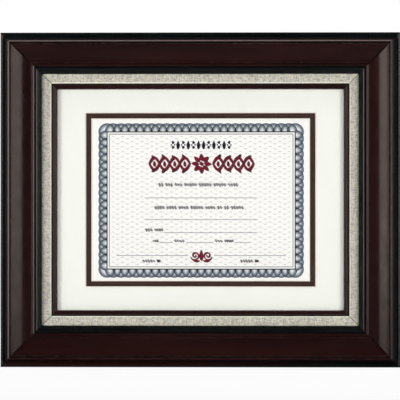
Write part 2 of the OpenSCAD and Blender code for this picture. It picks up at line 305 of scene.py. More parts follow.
class Paint(Nodes):
    """One material of the object. Scales are per metre."""

    def __init__(self, name, roughness=0.5):
        self.material = bpy.data.materials.new(name)
        self.material.use_nodes = True
        super().__init__(self.material.node_tree)
        self.shader = self.tree.nodes["Principled BSDF"]
        self.shader.inputs["Roughness"].default_value = roughness
        self.place = self.node("TexCoord", {})["Object"]

    def set(self, **values):
        """Sets or joins inputs of the shader, an underscore standing for a space."""
        for key, value in values.items():
            self.join(value, self.shader.inputs[key.replace("_", " ")])

    def stretch(self, x, y, z):
        """The place stretched on each axis."""
        return self.node("Mapping", {"Vector": self.place, "Scale": (x, y, z)})["Vector"]

    def along(self, axis, coarse):
        """The place squeezed along the grain, so that a noise in it runs in streaks."""
        return self.stretch(*(coarse if k == axis else 1.0 for k in range(3)))

    def noise(self, scale, detail=3.0, rough=0.55, place=None, distortion=0.0):
        """A cloudy noise about 0.5."""
        return self.node("TexNoise", {"Vector": place or self.place, "Scale": scale, "Detail": detail,
                                      "Roughness": rough, "Distortion": distortion})["Fac"]

    def cells(self, scale):
        """Distance to the nearest of many scattered points."""
        return self.node("TexVoronoi", {"Vector": self.place, "Scale": scale})["Distance"]

    def axis(self, number):
        """One coordinate of the place."""
        return self.node("SeparateXYZ", {"Vector": self.place})[number]

    def grey(self, value):
        """The grey of a number."""
        return self.node("CombineColor", {"Red": value, "Green": value, "Blue": value})["Color"]

    def mark(self, name):
        """What the mesh says of that name at each of its points."""
        return self.node("Attribute", {}, attribute_name=name)["Fac"]

    def polished(self):
        """How strongly the surface reflects, more where a polish is marked."""
        return self.span(self.mark("polish"), 0, 1, 0.5, 1.0)

    def worn(self, scale, least, most):
        """How bare the edges are rubbed, in patches."""
        return self.times(self.span(self.mark("edge"), 0.2, 1),
                          self.span(self.noise(scale, 4), least, 0.7, 0, most))

    def tint(self, tone, source, low, high, colour, most=1):
        """The tone with a colour laid over it where the source rises from low to high."""
        return self.mix(self.span(source, low, high, 0, most), tone, colour)

    def rough(self, source, least, most):
        """Makes the roughness follow a noise."""
        self.set(Roughness=self.span(source, 0.3, 0.7, least, most))

    def bump(self, height, distance, strength):
        """Gives the material its relief, and returns the material."""
        relief = self.node("Bump", {"Height": height, "Distance": distance, "Strength": strength})
        self.join(relief["Normal"], self.shader.inputs["Normal"])
        return self.material


def mahogany(name, axis, dark, mid, light, roughness=0.18):
    """Stained and lacquered wood: long streaks, open pores, edges worn paler in patches, and a
    painted highlight where one is marked.
    """
    p = Paint(name)
    streaks = p.noise(90, 5, 0.6, p.along(axis, 0.05), 0.6)
    figure = p.noise(16, 3, 0.5, p.along(axis, 0.12), 0.4)
    pores = p.noise(900, 2, 0.5, p.along(axis, 0.03))
    tone = p.tint(dark, streaks, 0.35, 0.68, mid)
    tone = p.tint(tone, figure, 0.4, 0.75, light, 0.7)
    tone = p.tint(tone, pores, 0.58, 0.72, deeper(dark, 0.55), 0.5)
    tone = p.mix(p.worn(260, 0.42, 0.55), tone, (118, 84, 70))
    # Painted highlight: pale grey laid over the marked crest and bead edges
    tone = p.mix(p.mark("painted_highlight"), tone, (112, 102, 99))
    p.rough(p.noise(70, 4), roughness - 0.05, roughness + 0.08)
    p.set(Base_Color=tone, Specular_IOR_Level=p.polished())
    return p.bump(p.math("ADD", p.times(pores, -0.6), p.times(streaks, 0.5)), 0.00003, 0.5)


def ebony(name, axis):
    """Black lacquer over the grain, rubbed grey on its edges, with a painted reddish reflection where
    a foot is marked.
    """
    p = Paint(name)
    streaks = p.noise(420, 3, 0.5, p.along(axis, 0.04))
    tone = p.tint((6, 7, 8), streaks, 0.35, 0.7, (16, 19, 20))
    tone = p.mix(p.worn(240, 0.45, 0.35), tone, (74, 66, 58))
    # Painted reflection: reddish brown over the marked foot, broken by the grain
    foot_reflection = p.times(p.span(p.mark("foot"), 0.15, 0.5), p.span(streaks, 0.3, 0.7, 0.8, 1.0))
    p.rough(p.noise(80, 4), 0.16, 0.26)
    p.set(Base_Color=p.mix(foot_reflection, tone, (38, 22, 20)), Specular_IOR_Level=p.polished())
    return p.bump(streaks, 0.00002, 0.4)


def bare_wood(name, axis, dark, light, roughness=0.72):
    """Unfinished softwood with early and late wood, fine fibres and a few darker streaks."""
    p = Paint(name)
    rings = p.noise(120, 2, 0.5, p.along(axis, 0.035), 0.5)
    fibres = p.noise(1500, 2, 0.6, p.along(axis, 0.02))
    tone = p.tint(light, rings, 0.35, 0.66, dark)
    tone = p.tint(tone, fibres, 0.4, 0.7, deeper(dark, 0.62), 0.35)
    tone = p.tint(tone, p.noise(22, 3), 0.45, 0.75, deeper(dark, 0.8), 0.3)
    p.rough(fibres, roughness - 0.08, roughness + 0.1)
    p.set(Base_Color=tone)
    return p.bump(p.math("ADD", p.times(fibres, 0.5), p.times(rings, 0.6)), 0.00008, 0.6)


def woven(name):
    """Undyed linen: threads of mixed beige, grey and straw, with painted shade in the weave's hollows
    and beside the lip, and a painted highlight along the nose.
    """
    p = Paint(name, 0.9)
    across = p.noise(960, 2, 0.5, p.stretch(1.0, 1.0, 0.22))
    along = p.noise(960, 2, 0.5, p.stretch(0.22, 1.0, 1.0))
    thread = p.times(p.math("ADD", across, along), 0.5)
    straw, lilac = p.noise(460, 2, 0.6, p.stretch(0.4, 1, 1)), p.noise(560, 2, 0.6)
    tone = p.tint((160, 158, 150), thread, 0.43, 0.57, (228, 226, 212))
    tone = p.tint(tone, straw, 0.48, 0.62, (222, 216, 172), 0.6)
    tone = p.tint(tone, lilac, 0.5, 0.64, (200, 198, 210), 0.5)
    tone = p.tint(tone, p.noise(1400, 2), 0.64, 0.72, (124, 116, 100), 0.5)
    # Painted shade: darker where the threads lie low, and darker near the lip, most on the side rails
    painted_shade = p.times(p.span(p.mark("thread"), 0.0, 1.0, 0.5, 1.0),
                     p.span(p.mark("lip"), 0.0, 1.0, 1.0, 0.66))
    tone = p.mix(1.0, tone, p.grey(painted_shade), "MULTIPLY")
    # Painted highlight along the nose, brightest on the lower rail
    tone = p.mix(p.mark("nose"), tone, (246, 244, 232))
    tone = p.mix(p.mark("mitre"), tone, (34, 30, 25))
    p.rough(thread, 0.82, 0.95)
    p.set(Base_Color=tone, Specular_IOR_Level=0.25, Sheen_Weight=0.15, Sheen_Roughness=0.5)
    return p.bump(p.noise(2600, 3, 0.6), 0.00005, 0.5)


def board(name, light, dark, roughness=0.85, speck=1400, depth=0.00003):
    """Card or board with a felted, slightly flecked face."""
    p = Paint(name)
    felt = p.noise(speck, 4, 0.65)
    tone = p.tint(light, felt, 0.35, 0.7, dark)
    tone = p.tint(tone, p.noise(30, 3, 0.5), 0.4, 0.75, dark, 0.35)
    p.rough(felt, roughness - 0.06, roughness + 0.06)
    p.set(Base_Color=tone, Specular_IOR_Level=0.25)
    return p.bump(felt, depth, 0.5)


def hardboard(name, pitch=0.0018):
    """Pressed fibre board: matted brown fibres over a faint screen pattern."""
    p = Paint(name)
    fibres = p.noise(520, 5, 0.7, None, 1.5)
    tone = p.tint((104, 74, 48), fibres, 0.35, 0.68, (136, 102, 70))
    tone = p.tint(tone, p.noise(26, 4, 0.6), 0.4, 0.72, (92, 64, 42), 0.5)
    waves = [p.math("SINE", p.times(p.axis(number), 2 * math.pi / pitch))
             for number in (X_AXIS, Z_AXIS)]
    p.rough(fibres, 0.6, 0.8)
    p.set(Base_Color=tone)
    return p.bump(p.math("ADD", p.times(p.times(*waves), 0.25), fibres), 0.0001, 0.6)


def metal(name, bright, dull, roughness):
    """Plated metal with faint rolling marks, small spots and a slightly uneven shine."""
    p = Paint(name)
    rolled = p.noise(700, 3, 0.6, p.stretch(0.06, 1, 1))
    tone = p.tint(bright, p.noise(140, 4, 0.6), 0.4, 0.72, dull)
    tone = p.mix(p.span(p.cells(900), 0.0, 0.16, 0.5, 0), tone, deeper(dull, 0.55))
    p.rough(rolled, roughness - 0.06, roughness + 0.12)
    p.set(Base_Color=tone, Metallic=1.0)
    return p.bump(rolled, 0.00001, 0.35)


def rubber(name):
    """Grey foam-backed rubber with a fine matt skin."""
    p = Paint(name)
    skin = p.noise(2600, 3, 0.6)
    p.rough(skin, 0.7, 0.9)
    p.set(Base_Color=p.tint((84, 84, 80), skin, 0.35, 0.7, (112, 112, 106)))
    return p.bump(skin, 0.00004, 0.6)


def ink(name, colour, spread=0.25):
    """Printing ink: its colour breaks up a little where the paper is rough."""
    p = Paint(name)
    grain = p.noise(2400, 3, 0.6)
    paler = tuple(v + (250 - v) * spread for v in colour)
    p.rough(grain, 0.55, 0.7)
    p.set(Base_Color=p.tint(colour, grain, 0.5, 0.8, paler), Specular_IOR_Level=0.3)
    return p.bump(grain, 0.00001, 0.3)


def tinted(name, paper, colour):
    """Ink whose strength is set by the mesh, from bare paper to its full colour."""
    p = Paint(name)
    grain = p.noise(2400, 3, 0.6)
    strength = p.times(p.mark("ink"), p.span(grain, 0.3, 0.8, 1.0, 0.9))
    p.rough(grain, 0.65, 0.8)
    p.set(Base_Color=p.mix(strength, paper, colour), Specular_IOR_Level=0.3)
    return p.bump(grain, 0.00001, 0.3)


def pane():
    """Clear picture glass: a faint reflection over what lies behind."""
    material = bpy.data.materials.new("glass")
    material.use_nodes = True
    shader = material.node_tree.nodes["Principled BSDF"]
    shader.inputs["Base Color"].default_value = (0.03, 0.04, 0.04, 1)
    shader.inputs["Roughness"].default_value = 0.03
    shader.inputs["Alpha"].default_value = 0.03
    return material


PAPER = (250, 250, 248)


def grain_axis(side):
    """The axis that a rail's grain runs along."""
    return X_AXIS if side in (BOTTOM, TOP) else Z_AXIS


def pair(make, name, *more):
    """The same material with its grain along X and along Z."""
    return {X_AXIS: make(name + "_x", X_AXIS, *more), Z_AXIS: make(name + "_z", Z_AXIS, *more)}


MAHOGANY = pair(mahogany, "mahogany", (20, 8, 8), (35, 14, 14), (43, 20, 18))
FILLET = pair(mahogany, "fillet_mahogany", (22, 8, 9), (37, 17, 17), (46, 24, 22), 0.2)
EBONY = pair(ebony, "black_lacquer")
POPLAR = pair(bare_wood, "bare_poplar", (160, 134, 98), (196, 174, 136))
PINE = pair(bare_wood, "pine", (168, 126, 84), (206, 170, 124))


# Rails

# Spans of u whose raised beads and edges are polished brighter than the rest
POLISHED = ((-0.1, 3.7), (8.6, 11.7), (39.2, 41.3), (42.7, 45.0))
# Painted highlights along crest and bead edges of two of the rails: from u, to u and above which d
PAINTED_HIGHLIGHTS = {LEFT: ((9.95, 10.7, 26.0), (40.2, 41.1, 20.0)), TOP: ((9.7, 10.7, 26.0),)}
# Span of u of the lower rail's foot, where a reddish reflection is painted on the lacquer, strongest
# at its left end
FOOT_REFLECTION_U = (1.4, 6.8)
# Where the moulding turns from black to mahogany, its quirk beside the crest, and its inner line
CREST_U, QUIRK_FROM_U, QUIRK_TO_U, QUIRK_D, INNER_U = 8.7, 11.6, 13.15, 25.4, 41.2


def rail_marks(side, outline, edge):
    """What the wood's materials read at each point of a rail's four loops."""
    u, d = outline.T
    polish = [side != BOTTOM and any(low < v < high for low, high in POLISHED) for v in u]
    # Marks the spans of the rail that get a painted highlight
    painted_highlight = np.zeros(len(u), bool)
    for low, high, least in PAINTED_HIGHLIGHTS.get(side, ()):
        painted_highlight |= (u > low) & (u < high) & (d > least)
    # The lower rail's foot carries the painted reflection, full at its left end and gone at its right
    foot = (side == BOTTOM) & (u > FOOT_REFLECTION_U[0]) & (u < FOOT_REFLECTION_U[1])
    return {"edge": np.tile(edge, 4), "polish": np.tile(polish, 4),
            "foot": np.concatenate([foot, foot, 0 * foot, 0 * foot]), "painted_highlight": np.tile(painted_highlight, 4)}


def swept(name, side, outline, edge, tones, materials, slot, node, gap=0.04, bevel=0.16):
    """A mitred rail with the closed outline (u, d), its ends slightly chamfered."""
    inset = outline - outward(outline) * bevel
    half = half_length(side)
    rings = []
    for way in (-1, 1):
        near, far = half - outline[:, 0] - gap - bevel, half - inset[:, 0] - gap
        full = at_side(side, way * near, outline[:, 0], outline[:, 1])
        small = at_side(side, way * far, inset[:, 0], inset[:, 1])
        rings += [small, full] if way < 0 else [full, small]
    piece(name, np.concatenate(rings), capped_faces(4, len(outline)), materials, slot, [node],
          chosen=tones * 3 + [0, 0], marks=rail_marks(side, outline, edge))


def moulding_outline():
    """Section of the outer moulding, clockwise from its back outer corner."""
    edge_bead, edge_r = (1.9, 16.4), 2.2
    cove_from, cove_to, cove_r = (3.8, 17.5), (8.25, QUIRK_D), 20.0
    crest_bead, crest_bead_r = (10.2, 26.45), 1.5
    crest, crest_r = (6.342, 18.316), 9.9
    scoop_edge, scoop_low = (13.3, 27.0), (36.6, 20.5)
    scoop_w, scoop_h = scoop_low[0] - scoop_edge[0], scoop_edge[1] - scoop_low[1]
    scoop_r = (scoop_w**2 + scoop_h**2) / (2 * scoop_h)
    scoop = (scoop_low[0], scoop_low[1] + scoop_r)
    bead, bead_r = (38.9, 20.2), 2.3
    arris, arris_r = (RABBET_U, 19.0), 2.7
    cove = left_centre(cove_from, cove_to, cove_r)
    parts = [
        [(0, 0)],
        arc_between(edge_bead, edge_r, (0, 17.509), (3.8, 17.509), 10),
        arc_between(cove, cove_r, cove_from, cove_to, 14)[1:],
        [(CREST_U, QUIRK_D)],
        arc(crest_bead, crest_bead_r, 178, 82, 9),
        arc_between(crest, crest_r, (10.6, 27.25), (11.6, 26.704), 4),
        [(QUIRK_FROM_U, QUIRK_D), (QUIRK_TO_U, QUIRK_D)],
        arc_between(scoop, scoop_r, scoop_edge, scoop_low, 40),
        arc(bead, bead_r, 176, 0, 22),
        [(INNER_U, 19.2), (42.8, 19.2), (42.8, 21.5)],
        arc(arris, arris_r, 88, 56.5, 10),
        [(MOULD_W, 17.8), (MOULD_W, LIP_D), (RABBET_U, LIP_D), (RABBET_U, 0.0)],
    ]
    return soften(joined(parts), 0.22)


def moulding_tone(u, d):
    """Which of black, mahogany and bare wood the section has there."""
    if d < 0.25 or (u > RABBET_U - 0.05 and d < LIP_D + 0.2):
        return 2
    # The quirk beside the crest takes the black lacquer as painted shade in the groove
    quirk = QUIRK_FROM_U - 0.05 < u < QUIRK_TO_U + 0.05 and d < QUIRK_D + 0.6
    return 0 if u < CREST_U + 0.02 or u > INNER_U - 0.05 or quirk else 1


def mouldings():
    """The four outer rails, black along their edges."""
    outline, edge = moulding_outline()
    middles = (outline + np.roll(outline, -1, 0)) / 2
    tones = [moulding_tone(*middle) for middle in middles]
    for key, side in SIDES.items():
        axis = grain_axis(side)
        swept("moulding_" + key + "_wood", side, outline, edge, tones,
              [EBONY[axis], MAHOGANY[axis], POPLAR[axis]], "mahogany", "moulding_" + key)


def fillets():
    """The four narrow rails over the edge of the glass, rounded in front."""
    low, high = node_box("fillet_bottom")
    tongue_u, inner_u = low[2] - FRAME_LOW[2], high[2] - FRAME_LOW[2]
    back_d, front_d, tongue_t, radius = BACK_Y - high[1], BACK_Y - low[1], 2.0, 3.2
    centre, tongue_d = (inner_u - radius, front_d - radius), back_d + tongue_t
    over = arc_between(centre, radius, (62.202, tongue_d), (68.266, back_d), 30)
    outline, edge = soften(joined([[(tongue_u, back_d), (tongue_u, tongue_d)], over]), 0.15)
    for key, side in SIDES.items():
        swept("fillet_" + key + "_wood", side, outline, edge * 0.3, [0] * len(outline),
              [FILLET[grain_axis(side)]], "fillet_mahogany", "fillet_" + key)


# Linen

THREAD = 1.05
WEAVE_RELIEF = 0.16
WEAVE_HIGH = 1.2
LINEN_STEP = 0.34
LINEN_T = 0.8
LINEN_GAP = 0.03
LINEN_START_U, LINEN_END_D = 46.0, 12.35
NOSE_R = 1.8
# Where the nose carries its painted highlight, as u, and how bright it is
NOSE_HIGHLIGHT = {BOTTOM: (61.05, 1.0), LEFT: (60.6, 0.6), TOP: (60.6, 0.8), RIGHT: (60.6, 0.6)}


def linen_line():
    """The outer line (u, d) from under the lip, over the nose and down behind the fillet."""
    nose = arc((NOSE_U - NOSE_R, LIP_D - NOSE_R), NOSE_R, 90, 0, 12)
    return joined([[(LINEN_START_U, LIP_D)], nose, [(NOSE_U, LINEN_END_D)]])


def linen_back():
    """The line of the cloth's inner face, one thickness behind the outer one."""
    inner_u, inner_d = NOSE_U - LINEN_T, LIP_D - LINEN_T
    return [(LINEN_START_U, inner_d), (NOSE_U - NOSE_R, inner_d), (inner_u - 0.3, inner_d - 0.3),
            (inner_u, LIP_D - NOSE_R), (inner_u, LINEN_END_D)]


def resample(line, step):
    """Evenly spaced points on an open line, and their distances along it."""
    lengths = np.concatenate([[0], np.cumsum(np.hypot(*np.diff(line, axis=0).T))])
    places = np.linspace(0, lengths[-1], int(lengths[-1] / step) + 1)
    return np.stack([np.interp(places, lengths, line[:, k]) for k in (0, 1)], -1), places


def wobble(values, seed, count=7, longest=60.0, shortest=4.0):
    """Smooth seeded wandering between -1 and 1."""
    rng = np.random.default_rng(seed)
    total = np.zeros_like(values, float)
    for k in range(count):
        wave = longest * (shortest / longest) ** (k / (count - 1))
        total += rng.uniform(0.4, 1) * np.sin(2 * np.pi * (values / wave + rng.uniform()))
    return total / (0.5 * count)


def thread_table(count, seed):
    """Thickness of each thread, a few of them slubbed."""
    rng = np.random.default_rng(seed)
    thick = rng.normal(1.0, 0.16, count)
    thick[rng.random(count) < 0.07] *= 1.35
    return np.clip(thick, 0.6, 1.5)


def threads(place, other, over, count, seed):
    """Height of the threads that lie side by side at place and run along other."""
    number, crossed = np.floor(place / THREAD).astype(int), np.floor(other / THREAD).astype(int)
    round_top = np.cos(np.pi * (place / THREAD - number - 0.5)) ** 0.6
    lift = 0.5 + 0.5 * over * np.sin(np.pi * (other / THREAD - crossed))
    return round_top * (0.35 + 0.55 * lift) * thread_table(count, seed)[number % count]


def weave(along, across, seed):
    """Height of a plain weave at places along and across the rail in millimetres."""
    along = along + 0.22 * wobble(across + 0.13 * along, seed)
    across = across + 0.16 * wobble(along, seed + 1)
    crossing = np.floor(across / THREAD).astype(int) + np.floor(along / THREAD).astype(int)
    over = np.where(crossing % 2 == 0, 1.0, -1.0)
    warp = threads(across, along, over, 60, seed + 2)
    weft = threads(along, across, -over, 900, seed + 3)
    return np.clip(np.maximum(warp, weft), 0, WEAVE_HIGH)


def linen_marks(side, u, from_end, height):
    """What the cloth's material reads: thread height for painted shade in its hollows, a painted
    highlight along the nose, dark mitres, and a painted shadow of the lip over its outer part.
    """
    # Painted shadow of the lip: strong on the left and right rails, faint on the top and bottom
    lip_shadow = 1.0 if side in (LEFT, RIGHT) else 0.15
    nose_u, pale = NOSE_HIGHLIGHT[side]
    full = np.ones_like(height)
    return {
        "thread": height,
        "nose": pale * np.exp(-(((u - nose_u) / 0.6) ** 2)) * full,
        "mitre": 0.95 * np.clip(2.0 - from_end / 0.45, 0, 1) * full,
        "lip": lip_shadow * (0.4 + 0.6 * np.clip((57.0 - u) / 5.5, 0, 1)) * full,
    }


def linen_piece(key, side, material):
    """One mitred strip of woven cloth: a fine outer face over a plain inner one."""
    line, places = resample(linen_line(), LINEN_STEP)
    normal = outward(np.concatenate([line, [(LINEN_START_U, LINEN_END_D)]]))[:-1]
    normal[0], normal[-1] = (0, 1), (1, 0)
    half = half_length(side)
    rows, cols = int(2 * (half - MOULD_W) / LINEN_STEP), len(line)
    t = np.linspace(-1, 1, rows)[:, None]
    from_end = (1 - np.abs(t)) * half
    height = weave(t * (half - line[None, :, 0] - LINEN_GAP) + 500, places[None, :] + 5, 11 + side)
    rim = np.minimum(1, from_end / 0.5) * np.ones_like(height)
    rim[:, 0] = rim[:, -1] = 1
    drop = WEAVE_RELIEF * (1 - height / WEAVE_HIGH * rim)
    drop[:, 0] = drop[:, -1] = WEAVE_RELIEF
    u = line[None, :, 0] - normal[None, :, 0] * drop
    d = line[None, :, 1] - normal[None, :, 1] * drop
    outer = at_side(side, t * (half - u - LINEN_GAP), u, d).reshape(-1, 3)
    back = linen_back()
    inner = [at_side(side, way * (half - u - LINEN_GAP), u, d) for way in (-1, 1) for u, d in back]
    base, n = len(outer), len(back)
    faces = strip_faces(rows, cols)
    faces += [(base + i, base + i + 1, base + n + i + 1, base + n + i) for i in range(n - 1)]
    faces.append([r * cols for r in range(rows)] + [base + n, base])
    faces.append([r * cols + cols - 1 for r in range(rows)] + [base + 2 * n - 1, base + n - 1])
    for first, last in ((0, base + n - 1), (base - cols, base + 2 * n - 1)):
        faces.append([first + c for c in range(cols)] + [last - i for i in range(n)])
    marks = {name: np.append(values.ravel(), np.zeros(2 * n))
             for name, values in linen_marks(side, line[:, 0], from_end, height * rim).items()}
    piece("linen_" + key + "_cloth", np.concatenate([outer, inner]), faces, [material],
          "linen", ["linen_" + key], marks=marks, sharp=60)


def linens():
    """The cloth on the four sides of the liner."""
    material = woven("linen")
    for key, side in SIDES.items():
        linen_piece(key, side, material)


# Mats

UPPER_WINDOW = (276.1, 208.5)
REVEAL = 7.75
# How far a mat's face stays behind what lies on it, and how much its cut edges are broken
MAT_AIR, MAT_NICK = 0.05, 0.06


def loop(half_w, half_h, d):
    """The four corners of a centred rectangle at depth d."""
    return [(x * half_w, BACK_Y - d, CENTRE_Z + z * half_h)
            for x, z in ((-1, -1), (1, -1), (1, 1), (-1, 1))]


def mat_piece(node, slot, front_d, inwards, face, core):
    """A mat board whose bevelled window shows its pale core."""
    low, high = node_box(node)
    half_w, half_h = (high[0] - low[0]) / 2, (high[2] - low[2]) / 2
    window_w, window_h = (v / 2 - inwards for v in UPPER_WINDOW)
    wide, narrow = MAT_T + MAT_NICK, MAT_T - MAT_NICK
    front = front_d - MAT_AIR
    loops = [
        (half_w, half_h, front_d - MAT_T),
        (half_w, half_h, front),
        (window_w + wide, window_h + wide, front),
        (window_w + narrow, window_h + narrow, front - MAT_NICK),
        (window_w, window_h, front_d - MAT_T),
    ]
    points = [p for item in loops for p in loop(*item)]
    tones = [1] * 4 + [0] * 4 + [1] * 12
    piece(node + "_board", points, ring_faces(5, 4), [face, core], slot, [node], tones)


def mats():
    """The off-white mat and the brown one that shows inside its window."""
    white = board("mat_white", (245, 247, 240), (238, 241, 233))
    brown = board("mat_brown", (68, 48, 41), (52, 36, 30))
    core = board("mat_core", (240, 236, 230), (226, 220, 212), speck=2200)
    mat_piece("mat_upper", "mat_white", MAT_UPPER_D, 0.0, white, core)
    mat_piece("mat_lower", "mat_brown", MAT_LOWER_D, REVEAL, brown, core)


# Nodes that keep their solids


def dress(node, material):
    """Gives a carried-over CAD node its material."""
    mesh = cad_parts[node].data
    mesh.materials.clear()
    mesh.materials.append(material)


def plain_nodes():
    """The glass, the sheet's paper, the boards and the liner's wood."""
    dress("glass", pane())
    dress("certificate", board("paper", PAPER, (244, 244, 240), 0.75, 1800, 0.00001))
    dress("filler_board", board("filler", (196, 170, 132), (170, 144, 108)))
    dress("backing_board", hardboard("hardboard"))
    for key, side in SIDES.items():
        dress("liner_" + key, PINE[grain_axis(side)])


# Print on the certificate

# Middle of the print on the sheet, and half sizes of its border, line and tint from there
PRINT_MIDDLE = (0.5, -0.8)
BORDER = (113.4, 82.6)
INNER_LINE = (110.7, 79.9)
TINT = (107.0, 77.5)
ROSE_R = 9.9
ROSE_PITCH = (9.2, 9.3)
CORNER_KEEP = 6.5
SHEET_Z = sum(v[2] for v in node_box("certificate")) / 2
KNOT_SHADOW, SCROLL_SHADOW = (1.1, -0.7), (0.7, -0.5)
# Ruled lines as start, end and height, and runs of fine waves with how tall they are
RULES = ((-67.9, 67.9, 3.1), (-67.9, 67.9, -23.1), (-44.7, 67.9, -38.7), (-50.6, -34.1, -50.7),
         (-18.1, 14.9, -50.7), (40.2, 58.4, -50.7), (-101.8, -15.5, -66.3), (15.5, 101.8, -66.3))
CORDS = ((-51.6, 49.6, 19.0, 3.6), (-56.4, 54.8, -8.5, 3.6), (-67.6, -45.5, -35.4, 3.2),
         (-58.2, -51.2, -48.7, 2.6), (-32.5, -18.4, -48.7, 2.6), (16.7, 39.4, -48.7, 2.6),
         (-70.8, -48.9, -72.9, 3.0), (47.2, 69.4, -72.9, 3.0))


class Print:
    """One ink of the print: ribbons and filled shapes a hair above the paper."""

    def __init__(self, lift):
        self.shape = Shape()
        self.lift = lift

    def add(self, flat, faces):
        """Adds a flat form (x, z), measured from the print's middle."""
        flat = np.asarray(flat, float).reshape(-1, 2)
        points = np.stack([flat[:, 0] + PRINT_MIDDLE[0],
                           np.full(len(flat), BACK_Y - SHEET_D - self.lift),
                           flat[:, 1] + PRINT_MIDDLE[1] + SHEET_Z], -1)
        self.shape.add(points, faces)

    def ribbon(self, line, width):
        """An open line of some width, or of a width for each point."""
        line = np.asarray(line, float)
        way = np.gradient(line, axis=0)
        way /= np.maximum(np.hypot(*way.T), 1e-9)[:, None]
        width = np.broadcast_to(np.asarray(width, float), len(line))
        side = np.stack([-way[:, 1], way[:, 0]], -1) * width[:, None] / 2
        self.add(np.stack([line + side, line - side], 1),
                 [(i, i + 1, i + 3, i + 2) for i in range(0, 2 * len(line) - 2, 2)])

    def fill(self, outline):
        """A filled shape, turned to face the front."""
        outline = np.asarray(outline, float)
        ordered = outline if doubled_area(outline) > 0 else outline[::-1]
        self.add(ordered, [tuple(range(len(outline)))])

    def piece(self, name, material, **more):
        self.shape.piece(name, [material], None, closed=False, sharp=180, **more)


def frame_line(half_w, half_h):
    """A rectangle's line with square corners that a ribbon can follow."""
    corners = [(-half_w, -half_h), (half_w, -half_h), (half_w, half_h), (-half_w, half_h)]
    return [(a[0] * (1 - t) + b[0] * t, a[1] * (1 - t) + b[1] * t)
            for a, b in zip(corners, corners[1:] + corners[:1]) for t in (0.0, 0.004, 0.996)]


def rose_places():
    """Middles of the border's circles and the angles, from and to, that each one shows."""
    half_w, half_h = BORDER
    places = []
    for sign_x, sign_z, start in ((1, 1, -90), (-1, 1, 0), (-1, -1, 90), (1, -1, 180)):
        places.append(((sign_x * half_w, sign_z * half_h), start, start + 270))
    for axis, (long, pitch) in enumerate(zip(BORDER, ROSE_PITCH)):
        count = int(2 * (long - CORNER_KEEP) / pitch) + 1
        for k in range(count):
            at = (k - (count - 1) / 2) * pitch
            if axis == 0:
                places += [((at, half_h), 0, 180), ((at, -half_h), 180, 360)]
            else:
                places += [((half_w, at), -90, 90), ((-half_w, at), 90, 270)]
    return places


def wedge(middle, turn):
    """The dark triangle where two circles end on the border's inner line."""
    a, middle = math.radians(turn), np.array(middle)
    out, along = np.array([math.cos(a), math.sin(a)]), np.array([-math.sin(a), math.cos(a)])
    return [middle + 1.5 * along, middle - 1.5 * along, middle + 3.2 * out]


def border_lines(places, slate):
    """The rims of the border's overlapping circles and the line that they stand on."""
    lines, rims, base_line = Print(0.04), ((0.0, 0.9), (1.7, 0.3)), 1.35
    for middle, start, end in places:
        count = 40 if end - start > 180 else 28
        for inset, width in rims:
            lines.ribbon(arc(middle, ROSE_R - inset, start, end, count), width)
        if end - start == 180:
            lines.fill(wedge(middle, (start + end) / 2))
    lines.ribbon(frame_line(*BORDER), base_line)
    lines.piece("print_border_lines", slate)


def four_corners(grid):
    """A grid's values at the four corners of each of its cells."""
    return grid[:-1, :-1], grid[:-1, 1:], grid[1:, 1:], grid[1:, :-1]


def border_shade(places, shade, step=0.42):
    """The engraving inside the circles, that darkens towards their rims."""
    half_w, half_h = BORDER
    x, z = np.meshgrid(*(np.arange(-half - ROSE_R, half + ROSE_R + step, step) for half in BORDER))
    reach = np.zeros_like(x)
    for (cx, cz), start, end in places:
        r = np.hypot(x - cx, z - cz) / ROSE_R
        turn = (np.degrees(np.arctan2(z - cz, x - cx)) - start) % 360
        reach = np.where((r <= 1) & (turn <= end - start), np.maximum(reach, r), reach)
    cell = np.all([corner > 0 for corner in four_corners(reach)], 0)
    cell &= (abs(x[:-1, :-1] + step / 2) > half_w) | (abs(z[:-1, :-1] + step / 2) > half_h)
    number = np.arange(x.size).reshape(x.shape)
    used, index = np.unique(np.concatenate([corner[cell] for corner in four_corners(number)]),
                            return_inverse=True)
    fill = Print(0.015)
    fill.add(np.stack([x.ravel()[used], z.ravel()[used]], -1),
             [tuple(f) for f in index.reshape(4, -1).T])
    soft = np.clip((reach.ravel()[used] - 0.4) / 0.55, 0, 1)
    strength = 0.14 + 0.86 * soft * soft * (3 - 2 * soft)
    fill.piece("print_border_shade", shade, marks={"ink": strength})


def wave_tint(pale):
    """Rows of fine waves, thick where they turn, as a safety paper has."""
    waves, period, row = Print(0.01), 11.85, 6.05
    count = int(2 * TINT[1] / row)
    x = np.linspace(-TINT[0], TINT[0], int(2 * TINT[0] / period * 16) + 1)
    swing = np.cos(2 * np.pi * x / period)
    for k in range(count + 1):
        z = (k - count / 2) * row + 1.45 * swing
        waves.ribbon(np.stack([x, z], -1), 0.12 + 1.2 * np.abs(swing) ** 3)
    waves.piece("print_waves", pale)


def leaf_outline(base, tip, swell, bend=0.0, count=14):
    """A pointed leaf from base to tip, swelling to a half width and bending to one side."""
    base, tip = np.array(base, float), np.array(tip, float)
    way = tip - base
    across = np.array([-way[1], way[0]]) / np.hypot(*way)
    t = np.linspace(0, 1, count)[:, None]
    spine = base + way * t + across * bend * np.sin(np.pi * t)
    half = swell * np.sin(np.pi * t**0.75) ** 0.9
    return np.concatenate([spine + across * half, (spine - across * half)[-2:0:-1]])


def mirrored(outline):
    """The outline on the other side of the print's middle."""
    return [(-x, z) for x, z in np.asarray(outline)[::-1]]


